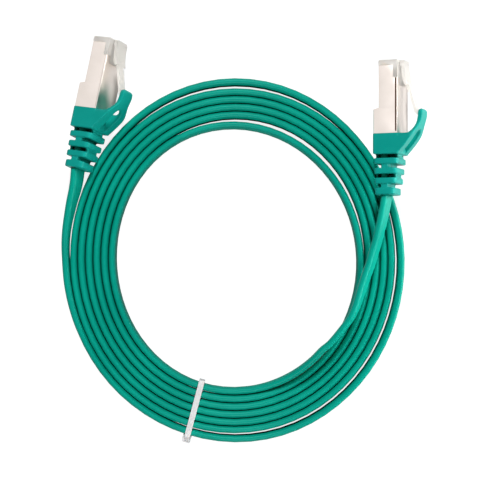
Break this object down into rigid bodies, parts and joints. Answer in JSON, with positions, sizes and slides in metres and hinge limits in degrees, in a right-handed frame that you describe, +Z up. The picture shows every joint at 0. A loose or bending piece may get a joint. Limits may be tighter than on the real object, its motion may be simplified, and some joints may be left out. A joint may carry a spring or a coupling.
{
  "type": "ethernet patch cable",
  "caption": "Flat shielded patch cable coiled on edge and tied, with a metal-shelled modular plug and a snagless latch guard on a ribbed boot at each end.",
  "frame": {"origin": "on the surface that the coil lies on, under the middle of the whole object's bounding box", "axes": "+Z up, away from that surface; +Y towards the plugs' noses; +X from the left plug to the right one"},
  "size_m": [0.122, 0.1364, 0.0209],
  "materials": {
    "cable_jacket": "satin",
    "boot_plastic": "semi-gloss",
    "tie_nylon": "translucent",
    "pair_foil": "bright foil",
    "orange_insulation": "satin",
    "green_insulation": "satin",
    "blue_insulation": "satin",
    "brown_insulation": "satin",
    "copper": "bright",
    "tinned_copper": "bright",
    "clear_plastic": "clear moulded plastic",
    "gold_plate": "bright",
    "shell_metal": "nickel-plated, satin"
  },
  "bodies": {
    "root": {"cable_coil": "cable_jacket", "left_cable_tail": "cable_jacket", "right_cable_tail": "cable_jacket", "cable_tie": "tie_nylon", "left_boot": "boot_plastic", "left_jacket_end": "cable_jacket", "left_pair_foils": "pair_foil", "left_orange_wires": "orange_insulation", "left_green_wires": "green_insulation", "left_blue_wires": "blue_insulation", "left_brown_wires": "brown_insulation", "left_copper_cores": "copper", "left_drain_wire": "tinned_copper", "left_load_bar": "clear_plastic", "left_contacts": "gold_plate", "left_plug_housing": "clear_plastic", "left_plug_shell": "shell_metal", "right_boot": "boot_plastic", "right_jacket_end": "cable_jacket", "right_pair_foils": "pair_foil", "right_orange_wires": "orange_insulation", "right_green_wires": "green_insulation", "right_blue_wires": "blue_insulation", "right_brown_wires": "brown_insulation", "right_copper_cores": "copper", "right_drain_wire": "tinned_copper", "right_load_bar": "clear_plastic", "right_contacts": "gold_plate", "right_plug_housing": "clear_plastic", "right_plug_shell": "shell_metal"},
    "left_guard": {"left_boot_guard": "boot_plastic"},
    "left_latch": {"left_plug_latch": "clear_plastic"},
    "right_guard": {"right_boot_guard": "boot_plastic"},
    "right_latch": {"right_plug_latch": "clear_plastic"}
  },
  "joints": [
    {"name": "left_guard_press", "type": "hinge", "parent": "root", "child": "left_guard", "pos_m": [-0.046, 0.03946, 0.01162], "axis": [-0.4263, 0.1818, 0.8861], "range_deg": [0, 19], "stiffness_Nm_per_rad": 0.2},
    {"name": "left_latch_press", "type": "hinge", "parent": "root", "child": "left_latch", "pos_m": [-0.04161, 0.06461, 0.00857], "axis": [0.4263, -0.1818, -0.8861], "range_deg": [0, 12]},
    {"name": "right_guard_press", "type": "hinge", "parent": "root", "child": "right_guard", "pos_m": [0.0539, 0.03212, 0.01505], "axis": [-0.3665, 0.0406, 0.9295], "range_deg": [0, 19], "stiffness_Nm_per_rad": 0.2},
    {"name": "right_latch_press", "type": "hinge", "parent": "root", "child": "right_latch", "pos_m": [0.05316, 0.05779, 0.01363], "axis": [0.3665, -0.0406, -0.9295], "range_deg": [0, 12]}
  ],
  "couplings": [
    {"joint": "left_latch_press", "follows": "left_guard_press", "ratio": 0.63},
    {"joint": "right_latch_press", "follows": "right_guard_press", "ratio": 0.63}
  ]
}
